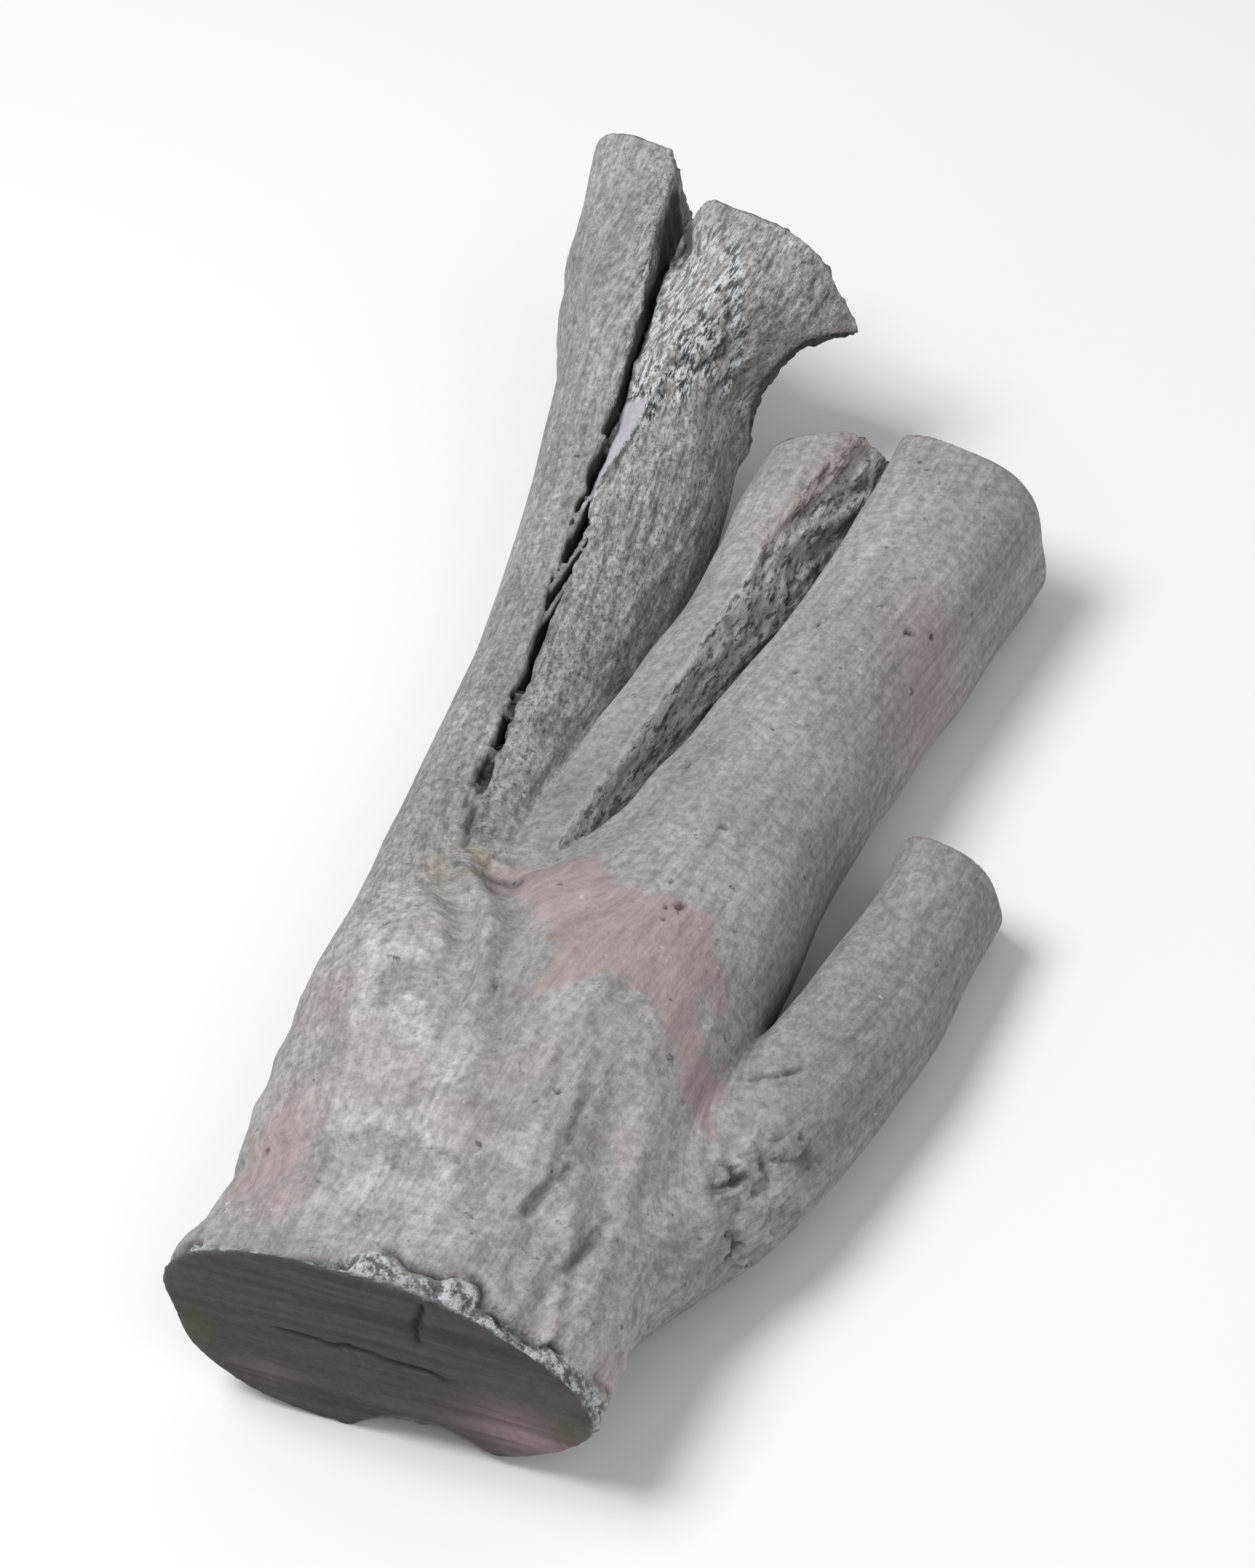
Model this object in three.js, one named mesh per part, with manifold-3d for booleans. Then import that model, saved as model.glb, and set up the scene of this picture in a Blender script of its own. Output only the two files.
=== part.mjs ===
// A forked lump of hardwood charcoal, lying on its flat underside.
// A short trunk, sawn across at its near end, forks into a cracked left limb, a right limb with a torn
// strip beside it, and a low stub. It grew and was charred as one piece, so it is one mesh.
// Millimetres, +Z up, +Y along the grain from the sawn end to the limb tips.
import * as THREE from "three";
import { mergeVertices } from "three/addons/utils/BufferGeometryUtils.js";
import Module from "manifold-3d";

const wasm = await Module();
wasm.setup();

// Driving dimensions.
const TRUNK_HEIGHT = 42; // through the trunk, from the surface it lies on
const TRUNK_WIDTH = 68; // across the sawn end
const LIMB_HEIGHT = 33; // through either limb
const REST_SINK = 0.8; // how much of each belly is worn flat where the lump lies
const SQUARENESS = 2.25; // superellipse exponent of a section: 2 is an ellipse
const SAW_LEAN_DEG = 10; // turn of the sawn face about Z, square to the leaning trunk
const RINGS_PER_SPAN = 4; // lofted rings from one station to the next
const SIDES = 28; // facets round a section
const REACH = 120; // size of the solids that only cut, past everything they cut

const TRUNK_HALF = TRUNK_HEIGHT / 2;
const LIMB_HALF = LIMB_HEIGHT / 2;

// Where each branch runs: the middle of its section at each station, with half its width and height.
const TRUNK = [
  { at: [-3, -26, TRUNK_HALF - REST_SINK], half: [TRUNK_WIDTH / 2 + 2, TRUNK_HALF + 1] },
  { at: [-2, -4, TRUNK_HALF - REST_SINK], half: [TRUNK_WIDTH / 2, TRUNK_HALF] },
  { at: [2.5, 16, TRUNK_HALF - REST_SINK], half: [32.5, TRUNK_HALF - 0.5] },
  { at: [4.5, 32, TRUNK_HALF - REST_SINK], half: [33.5, TRUNK_HALF] },
  { at: [5.5, 48, TRUNK_HALF - REST_SINK], half: [33, TRUNK_HALF] },
  { at: [7, 62, TRUNK_HALF - REST_SINK], half: [30, TRUNK_HALF - 0.5] },
  { at: [7, 76, 19], half: [22, 17.5] },
  { at: [5, 89, 18], half: [10, 13] },
];
const LEFT_LIMB = [
  { at: [-8, 26, 20], half: [17, 17] },
  { at: [-11.5, 56, 20], half: [16.5, 18.5] },
  { at: [-9.5, 86, 19.5], half: [15.5, 17.5] },
  { at: [-8, 112, 18], half: [15.2, LIMB_HALF + 0.3] },
  { at: [-7, 138, LIMB_HALF - REST_SINK], half: [15.8, LIMB_HALF] },
  { at: [-5.5, 164, LIMB_HALF + 0.3], half: [16.5, LIMB_HALF] },
  { at: [-4, 188, 21], half: [18, LIMB_HALF] },
  { at: [-3, 206, 26], half: [19, LIMB_HALF + 0.5] },
  { at: [1, 222, 32], half: [24, LIMB_HALF + 1] },
  { at: [6, 236, 38], half: [30, LIMB_HALF + 1] },
  { at: [8, 262, 46], half: [33, LIMB_HALF] },
];
const RIGHT_LIMB = [
  { at: [13, 24, 18.5], half: [19, 16] },
  { at: [19, 52, 20], half: [22, 19.6] },
  { at: [23, 74, 20], half: [22.5, 19.6] },
  { at: [28.5, 96, 19], half: [20, 18] },
  { at: [35.5, 120, 18], half: [18, LIMB_HALF + 0.5] },
  { at: [43.5, 146, 16.5], half: [16.7, LIMB_HALF] },
  { at: [52, 172, LIMB_HALF - REST_SINK], half: [16.8, LIMB_HALF] },
  { at: [61.5, 206, LIMB_HALF - REST_SINK], half: [17.3, LIMB_HALF] },
];
const TORN_STRIP = [
  { at: [2, 58, 21], half: [9, 11] },
  { at: [5, 80, 22], half: [9.5, 13] },
  { at: [9.5, 104, 21], half: [9, 13.5] },
  { at: [15.5, 128, 20.5], half: [8.5, 13.5] },
  { at: [21, 150, 20], half: [8.8, 13.5] },
  { at: [26, 170, 19.5], half: [10, 13.5] },
  { at: [33, 206, 19.5], half: [12.5, 13.5] },
];
const STUB = [
  { at: [20, 10, 16], half: [12, 12] },
  { at: [38.5, 36, 14], half: [13.5, 13] },
  { at: [53.5, 62, 12], half: [11, 12.3] },
  { at: [63, 88, 11], half: [10, 11.3] },
  { at: [70, 116, 10.5], half: [9.3, 10.5] },
];

// The left limb seen from above: its broken tips, and the long crack that parts them.
const LEFT_LIMB_OUTLINE = [
  [-REACH, 0],
  [REACH, 0],
  [REACH, 180],
  [37, 219],
  [27, 226],
  [15, 232],
  [6, 234.5],
  [0.6, 231],
  [-2, 216],
  [-3.7, 196],
  [-5.5, 168],
  [-6.1, 138],
  [-6.6, 112],
  [-6.9, 86],
  [-7.3, 112],
  [-7.5, 138],
  [-7.4, 168],
  [-5.7, 196],
  [-4, 218],
  [-2.4, 236],
  [-1, 244],
  [-10, 248],
  [-24, 253],
  [-REACH, 254],
];

// The split face along the left of the right limb, seen from above.
const RIGHT_LIMB_OUTLINE = [
  [-REACH, 0],
  [REACH, 0],
  [REACH, 2 * REACH],
  [49, 2 * REACH],
  [46.5, 195],
  [44, 184],
  [39, 162],
  [33, 142],
  [23, 115],
  [12, 87],
  [0, 70],
  [-REACH, 70],
];

// The hollow broken out from under the right of the left limb's tip: a round cut along this line.
const HOLLOW = { through: [37.5, 195.6, 30], along: [-0.185, 0.745, -0.64], radius: 19.2 };

// A point each plain broken end passes through, and which way it faces in degrees from +X.
const RIGHT_TIP = { through: [60, 191, 16], facing: 66 };
const STRIP_TIP = { through: [31, 195, 16], facing: 98 };
const STUB_TIP = { through: [66, 108, 11], facing: 66 };

// A closed mesh as a manifold solid.
function solidOf(geometry) {
  const bare = geometry.index ? geometry.toNonIndexed() : geometry.clone();
  bare.deleteAttribute("normal");
  bare.deleteAttribute("uv");
  const merged = mergeVertices(bare, 1e-4);
  return new wasm.Manifold(
    new wasm.Mesh({
      numProp: 3,
      vertProperties: merged.attributes.position.array,
      triVerts: new Uint32Array(merged.index.array),
    }),
  );
}

// The distance from a section's centre to its edge at an angle, for half sizes of 1.
// Three and five shallow lobes make it a branch and not a turned rod.
function edgeAt(angle, lobePhase) {
  const across = Math.abs(Math.cos(angle)) ** SQUARENESS;
  const upward = Math.abs(Math.sin(angle)) ** SQUARENESS;
  const squircle = (across + upward) ** (-1 / SQUARENESS);
  const lobes = 0.022 * Math.cos(3 * angle + lobePhase) + 0.014 * Math.cos(5 * angle + 2 * lobePhase);
  return squircle * (1 + lobes);
}

// A branch lofted through its stations, with flat ends.
function branch(stations, lobePhase) {
  const through = (pick) => new THREE.CatmullRomCurve3(stations.map(pick), false, "catmullrom", 0.5);
  const spine = through((s) => new THREE.Vector3(...s.at));
  const girth = through((s) => new THREE.Vector3(...s.half, 0));
  const rings = (stations.length - 1) * RINGS_PER_SPAN;
  const up = new THREE.Vector3(0, 0, 1);
  const points = [];
  for (let ring = 0; ring <= rings; ring++) {
    const t = ring / rings;
    const centre = spine.getPoint(t);
    const along = spine.getTangent(t);
    const half = girth.getPoint(t);
    const side = new THREE.Vector3().crossVectors(along, up).normalize();
    const over = new THREE.Vector3().crossVectors(side, along);
    for (let i = 0; i < SIDES; i++) {
      const angle = (2 * Math.PI * i) / SIDES;
      const edge = edgeAt(angle, lobePhase);
      points.push(
        centre
          .clone()
          .addScaledVector(side, half.x * edge * Math.cos(angle))
          .addScaledVector(over, half.y * edge * Math.sin(angle)),
      );
    }
  }
  const firstEnd = points.push(spine.getPoint(0)) - 1;
  const lastEnd = points.push(spine.getPoint(1)) - 1;
  const faces = [];
  for (let i = 0; i < SIDES; i++) {
    const next = (i + 1) % SIDES;
    for (let ring = 0; ring < rings; ring++) {
      const near = ring * SIDES;
      const far = near + SIDES;
      faces.push(near + i, near + next, far + i, near + next, far + next, far + i);
    }
    faces.push(firstEnd, next, i, lastEnd, rings * SIDES + i, rings * SIDES + next);
  }
  // An indexed mesh needs its faces to point out: side x over points back along the branch.
  const outward = [];
  for (let i = 0; i < faces.length; i += 3) {
    outward.push(faces[i], faces[i + 2], faces[i + 1]);
  }
  return solidOf(new THREE.BufferGeometry().setFromPoints(points).setIndex(outward));
}

// Everything past a plane that faces sideways, as a solid to cut away.
function pastPlane({ through, facing }) {
  const block = new THREE.BoxGeometry(REACH, 2 * REACH, 2 * REACH);
  block.translate(REACH / 2, 0, 0);
  block.rotateZ(THREE.MathUtils.degToRad(facing));
  block.translate(...through);
  return solidOf(block);
}

// A round bar about a line, as a solid to cut away.
function bar({ through, along, radius }) {
  const rod = new THREE.CylinderGeometry(radius, radius, 2 * REACH, 48);
  const direction = new THREE.Vector3(...along).normalize();
  rod.applyQuaternion(new THREE.Quaternion().setFromUnitVectors(new THREE.Vector3(0, 1, 0), direction));
  rod.translate(...through);
  return solidOf(rod);
}

// An outline drawn from above, as a tall solid that the lump lies inside.
function standing(outline) {
  const shape = new THREE.Shape(outline.map(([x, y]) => new THREE.Vector2(x, y)));
  const tall = new THREE.ExtrudeGeometry(shape, { depth: 2 * REACH, bevelEnabled: false });
  tall.translate(0, 0, -REACH);
  return solidOf(tall);
}

const leftLimb = branch(LEFT_LIMB, 0.6).intersect(standing(LEFT_LIMB_OUTLINE)).subtract(bar(HOLLOW));
const rightLimb = branch(RIGHT_LIMB, 2.1)
  .intersect(standing(RIGHT_LIMB_OUTLINE))
  .subtract(pastPlane(RIGHT_TIP));
const tornStrip = branch(TORN_STRIP, 4.0).subtract(pastPlane(STRIP_TIP));
const stub = branch(STUB, 1.2).subtract(pastPlane(STUB_TIP));

const sawnEnd = pastPlane({ through: [-1, -3, 0], facing: -90 - SAW_LEAN_DEG });
const surface = new THREE.BoxGeometry(8 * REACH, 8 * REACH, REACH);
surface.translate(0, 0, -REACH / 2);

const lump = branch(TRUNK, 0)
  .add(leftLimb)
  .add(rightLimb)
  .add(tornStrip)
  .add(stub)
  .subtract(sawnEnd)
  .subtract(solidOf(surface));

// The solid as a three.js mesh, moved so that the middle of its box stands on the origin.
const { vertProperties, triVerts } = lump.getMesh();
const geometry = new THREE.BufferGeometry();
geometry.setAttribute("position", new THREE.BufferAttribute(vertProperties, 3));
geometry.setIndex(new THREE.BufferAttribute(triVerts, 1));
geometry.computeVertexNormals();
geometry.computeBoundingBox();
const middle = geometry.boundingBox.getCenter(new THREE.Vector3());
geometry.translate(-middle.x, -middle.y, -geometry.boundingBox.min.z);

const charcoal = new THREE.MeshStandardMaterial({ color: 0x9a9896, roughness: 0.85, metalness: 0 });
const charcoalLump = new THREE.Mesh(geometry, charcoal);
charcoalLump.name = "charcoal_lump";

const group = new THREE.Group();
group.add(charcoalLump);
export default group;
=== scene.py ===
"""A forked lump of hardwood charcoal: sawn trunk, cracked left limb, split right limb and a short stub.

The shape is a field of distances in millimetres, in the same coordinates as the stations of the CAD
part. It is turned into one mesh, weathered by moving its points, and moved into the CAD frame.
"""

import math

import bpy
import numpy as np
from mathutils import Matrix, Vector


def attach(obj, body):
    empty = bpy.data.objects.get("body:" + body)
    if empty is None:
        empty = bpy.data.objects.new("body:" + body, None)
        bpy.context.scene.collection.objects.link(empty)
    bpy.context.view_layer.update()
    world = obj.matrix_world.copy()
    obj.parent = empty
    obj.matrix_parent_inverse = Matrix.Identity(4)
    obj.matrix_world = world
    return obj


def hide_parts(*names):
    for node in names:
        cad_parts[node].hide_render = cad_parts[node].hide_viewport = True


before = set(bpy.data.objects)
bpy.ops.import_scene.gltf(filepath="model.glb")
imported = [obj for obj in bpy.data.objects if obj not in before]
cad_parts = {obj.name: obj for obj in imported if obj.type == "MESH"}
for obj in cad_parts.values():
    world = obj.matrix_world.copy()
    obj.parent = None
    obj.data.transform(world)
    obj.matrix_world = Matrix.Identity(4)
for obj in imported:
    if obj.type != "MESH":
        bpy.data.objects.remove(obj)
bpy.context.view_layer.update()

MM = 0.001
VOXEL = 0.7  # grid pitch of the distance field
CAD_MIDDLE = (21.47, 122.01)  # middle of the CAD box, in the stations' coordinates

# Stations of each limb: centre x, y, z, then half width and half height.
TRUNK = [
    (-3, -26, 20.2, 36, 22), (-2, -4, 20.2, 34, 21), (2.5, 16, 20.2, 32.5, 20.5),
    (4.5, 32, 20.2, 33.5, 21), (5.5, 48, 20.2, 33, 21), (7, 62, 20.2, 30, 20.5),
    (7, 76, 19, 22, 17.5), (5, 89, 18, 10, 13),
]
LEFT = [
    (-8, 26, 20, 17, 17), (-11.5, 56, 20, 16.5, 18.5), (-9.5, 86, 19.5, 15.5, 17.5),
    (-8, 112, 18, 15.2, 16.8), (-7, 138, 15.7, 15.8, 16.5), (-5.5, 164, 16.8, 16.5, 16.5),
    (-4, 188, 21, 17.5, 16.5), (-2.3, 206, 26, 18.4, 16.8), (4.6, 222, 32, 24.9, 17),
    (10.5, 237, 37.8, 30.6, 16.7), (15, 262, 46, 34.8, 16.2),
]
RIGHT = [
    (13, 24, 18.5, 19, 16), (19, 52, 20, 22, 19.6), (23, 74, 20, 22.5, 19.6), (28.5, 96, 19, 20, 18),
    (35.5, 120, 18, 18, 17), (43.5, 146, 16.5, 16.7, 16.5), (52, 172, 15.7, 16.8, 16.5),
    (61.5, 206, 15.7, 17.3, 16.5),
]
STRIP = [
    (2, 58, 21, 9, 11), (5, 80, 22, 10, 13.5), (10.5, 104, 21, 10, 14), (17, 128, 20, 10, 14),
    (23, 150, 19, 10.5, 14), (28.5, 170, 18.5, 12, 14), (35, 204, 18.5, 14, 14),
]
STUB = [
    (20, 10, 16, 12, 12), (38.5, 36, 14, 13.5, 13), (53.5, 62, 12, 11, 12.3), (63, 88, 11, 10, 11.3),
    (70, 116, 10.5, 9.3, 10.5),
]
# How each limb blends into the trunk where they grew together: the reach of the blend.
LEFT_BLEND = 9
RIGHT_BLEND = 12
STUB_BLEND = 6
STRIP_BLEND = 4

# Burnt pits on the upper side: x, y and size.
PITS = [
    (41, 143, 0.7), (32, 73, 0.7), (56, 146, 0.5), (26, 106, 0.4), (-12, 63, 0.5), (47, 165, 0.4),
    (48, 26, 0.7), (22, 34, 0.5), (8, 51, 0.4), (35, 92, 0.35), (66, 158, 0.5),
]
# Soft round patches on the upper side: x, y, their reach in x and in y, and how strong they are.
BUMPS = [
    (-9, 62, 8, 12, 1.5), (-12, 44, 7, 7, 1.2), (-14, 22, 8, 8, 1.0), (13, 27, 6, 9, -0.9),
    (22, 46, 7, 9, 0.9), (28, 30, 3.5, 16, -0.8), (-4.6, 80.5, 2.2, 2.8, 0.5),
]
PITTED = [(49, 33, 6, 9, 1)]
PINK_SPOTS = [(-17, 48, 5, 7, 0.6), (-18, 20, 6, 12, 0.6), (59, 143, 4, 13, 0.8)]
ASH_SPOTS = [(2, 24, 26, 18, 0.9), (-7, 56, 10, 14, 1.1)]
YELLOW_SPOTS = [(-5.0, 79.5, 4.2, 4.4, 1)]
SHADED_SPOTS = [(22, 32, 9, 13, 0.12)]
# Patches on the sawn face: x, z, their reach in x and in z, and how strong they are.
FACE_PINK = [(22, 10.5, 9, 7, 1), (-20, 9, 5, 4, 0.3)]
FACE_YELLOW = [(-31, 17, 3, 6, 1), (29, 16, 3, 4, 1)]
# The ridge that runs down the trunk from the knot where the limbs part, and the chipped line by the stub.
RIDGE = [(-6, 83), (-2.5, 76), (1.8, 70), (5.2, 62), (6.4, 52), (5.6, 43), (3.5, 37)]
CHIPPED_LINE = [(45, 31), (48.5, 35), (52, 39), (55.5, 42)]
# Creases on the upper side: a path seen from above, half width and depth.
CREASES = [
    ([(3, 202), (9, 203), (13, 207), (13.5, 212), (11, 218)], 0.5, 0.9),
    ([(-5.5, 82), (-6.4, 88), (-7.0, 96), (-7.3, 104), (-6.8, 112), (-7.2, 120), (-6.9, 130)], 0.65, 1.3),
    ([(-8.6, 92), (-8.3, 98), (-8.0, 104)], 0.5, 0.8),
    ([(-2, 79), (2, 78.5), (6, 77)], 0.6, 0.7),
    ([(46, 50.5), (50, 52), (54, 54.5)], 0.45, 0.8),
    ([(26, 38), (25.5, 30), (24, 23), (24, 17)], 0.7, 0.45),
    ([(21, 12), (23.5, 18), (26.5, 24)], 0.7, 0.6),
    ([(27, 4), (30, 12), (33, 20)], 0.7, 0.6),
    ([(-14, 96), (-13.5, 120), (-13, 140)], 0.4, 0.3),
    ([(-10.5, 150), (-9.5, 176), (-9, 196)], 0.4, 0.3),
]
# The frayed silver patch beside the long crack, seen from above.
SILVER_PATCH = [
    (-4, 184), (1, 186), (3, 193), (9, 200), (17, 204), (15, 222), (7, 230), (-2, 227), (-3, 212),
]
# The flat pink patch, seen from above.
PINK_PATCH = [
    (-1, 79), (3, 83), (18, 83), (22, 76), (38, 72), (41, 62), (38, 55), (43, 48), (42, 39),
    (37, 43), (33, 53), (26, 55), (15, 49), (17, 59), (9, 70),
]

# Lines on the lump seen from above, as x at each y, or y at each x.
CRACK_Y = (80, 98, 112, 122, 132, 142, 152, 166, 178, 198, 209, 223, 243, 256)
CRACK_X = (-7.0, -7.0, -7.0, -6.95, -6.9, -6.8, -6.3, -5.8, -5.9, -4.6, -3.2, -1.6, 0.4, 1.2)
CRACK_HALF = (0.2, 0.2, 0.3, 0.4, 0.6, 1.0, 1.4, 1.7, 0.8, 0.4, 0.5, 0.8, 1.4, 1.8)
CRACK_DEPTH = (-1, 0, 4.5, 9, 12, 13, 12, 10, 8, 9, 12, 20, 50, 60)
SPLINTERS = (122, 147, 158, 171, 186)  # where thin splinters still bridge the crack
SPLINTER_REACH = 8  # along the grain, each way
SPLINTER_HALF = 0.5
SPLINTER_SLANT = 0.22
SPLIT_FROM_Y = 84  # where the split between the right limb and its torn strip starts
BEVEL_FROM_Y = 168
BEVEL_Y = (166, 174, 182, 190, 198, 206, 214, 222, 232, 240)
BEVEL_WIDTH = (0, 1.6, 4.4, 6.4, 7.6, 11, 15, 14, 9, 6)
BEVEL_DROP = (0, 0.9, 1.8, 2.3, 2.6, 3.0, 3.4, 4.4, 6.5, 8.0)
GASH_WALL_Y = (70, 87, 115, 142, 162, 184, 195, 240)
GASH_WALL_X = (2, 12, 23, 33, 39, 44, 46.5, 52)
TORN_EDGE_Y = (70, 87, 104, 128, 150, 170, 182, 192, 206)
TORN_EDGE_X = (8, 10.5, 14.5, 20.5, 25.5, 29, 31.5, 36, 41)
THICK_TIP_X = (-8, 0, 6, 15, 27, 37, 60)
THICK_TIP_Y = (230, 234, 236.5, 233.5, 227, 219, 200)
STRIP_TIP_X = (-40, -24, -10, -3.6, 10)
STRIP_TIP_Y = (254, 253, 249, 246, 242)
# Ends seen from above: a point on each, and the way it faces in degrees.
SAWN_END = ((-1, -3), -100)
RIGHT_TIP = ((60.5, 191.5), 66)
TORN_TIP = ((31, 196), 98)
STUB_TIP = ((66, 108), 66)
# The hollow under the left limb's tip: a point on its middle line, its direction and its radius.
HOLLOW_THROUGH = (37.5, 195.6, 30.0)
HOLLOW_ALONG = (-0.185, 0.745, -0.64)
HOLLOW_RADIUS = 19.2
NEVER = -50  # a distance so far inside that it cuts nothing
GROOVE_X = 4.0  # a shallow valley under the trunk, between two lobes of its sawn face
THICK_FROM_X = -6.0  # where the thick half of the left limb starts, right of its crack
SHARE_REACH = 3.0  # how far a limb's grain carries on into the next one


def catmull(stations, per_span=16):
    """A uniform Catmull-Rom curve through the stations, sampled evenly in each span."""
    p = np.array(stations, float)
    p = np.vstack([2 * p[0] - p[1], p, 2 * p[-1] - p[-2]])
    t = np.linspace(0, 1, per_span, endpoint=False)[:, None]
    spans = []
    for a, b, c, d in zip(p[:-3], p[1:-2], p[2:-1], p[3:]):
        spans.append(b + 0.5 * t * (c - a + t * (2 * a - 5 * b + 4 * c - d + t * (3 * (b - c) + d - a))))
    return np.vstack(spans + [p[-2:-1]])


class Limb:
    """A limb as its section in each plane across Y."""

    def __init__(self, stations, phase, squareness=((0, 2.25), (260, 2.25))):
        c = catmull(stations)
        along = np.gradient(c[:, :3], axis=0)
        lean = np.abs(along[:, 1]) / np.hypot(along[:, 0], along[:, 1])
        rise = np.abs(along[:, 1]) / np.hypot(along[:, 2], along[:, 1])
        self.y = c[:, 1]
        self.rows = (c[:, 0], c[:, 2], c[:, 3] / lean, c[:, 4] / rise)
        self.phase = phase
        self.squareness = np.array(squareness, float).T

    def section(self, y):
        return [np.interp(y, self.y, row).astype(np.float32) for row in self.rows]

    def field(self, x, y, z):
        cx, cz, half_x, half_z = self.section(y)
        u = x - cx
        v = z - cz
        n = np.interp(y, *self.squareness).astype(np.float32)
        r = ((np.abs(u) / half_x) ** n + (np.abs(v) / half_z) ** n) ** (1 / n)
        angle = np.arctan2(v / half_z, u / half_x)
        lobes = 0.022 * np.cos(3 * angle + self.phase) + 0.014 * np.cos(5 * angle + 2 * self.phase)
        edge = r / (1 + lobes)
        out = (1 - 1 / np.maximum(edge, 0.05)) * np.hypot(u, v)
        return np.maximum(out, np.maximum(self.y[0] - y, y - self.y[-1]))


def soft_min(a, b, k):
    """The smaller of two distances, blended where they differ by less than k."""
    h = np.maximum(k - np.abs(a - b), 0) / k
    return np.minimum(a, b) - h * h * k * 0.25


def soft_max(a, b, k):
    return -soft_min(-a, -b, k)


def ramp(low, high, value):
    """0 at low, 1 at high, smooth between them."""
    t = np.clip((value - low) / (high - low), 0, 1)
    return t * t * (3 - 2 * t)


LIMBS = {
    "trunk": Limb(TRUNK, 0.0),
    "left": Limb(LEFT, 0.6, ((170, 2.25), (212, 2.5), (232, 3.2), (248, 4.6))),
    "right": Limb(RIGHT, 2.1, ((120, 2.25), (175, 3.0))),
    "strip": Limb(STRIP, 4.0),
    "stub": Limb(STUB, 1.2),
}


def jagged(along, pitch, seed):
    """A torn line: random points from -1 to 1, pitch apart, joined by straight lines."""
    knots = np.arange(-60, 300, pitch)
    return np.interp(along, knots, np.random.default_rng(seed).uniform(-1, 1, len(knots)))


def plane(x, y, through, facing_deg):
    """How far each point is in front of an upright plane."""
    a = math.radians(facing_deg)
    return (x - through[0]) * math.cos(a) + (y - through[1]) * math.sin(a)


def line_through(x, y, z, through, along):
    """How far each point is from a straight line."""
    dx, dy, dz = x - through[0], y - through[1], z - through[2]
    on = (dx * along[0] + dy * along[1] + dz * along[2]) / sum(a * a for a in along)
    return np.sqrt((dx - on * along[0]) ** 2 + (dy - on * along[1]) ** 2 + (dz - on * along[2]) ** 2)


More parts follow.
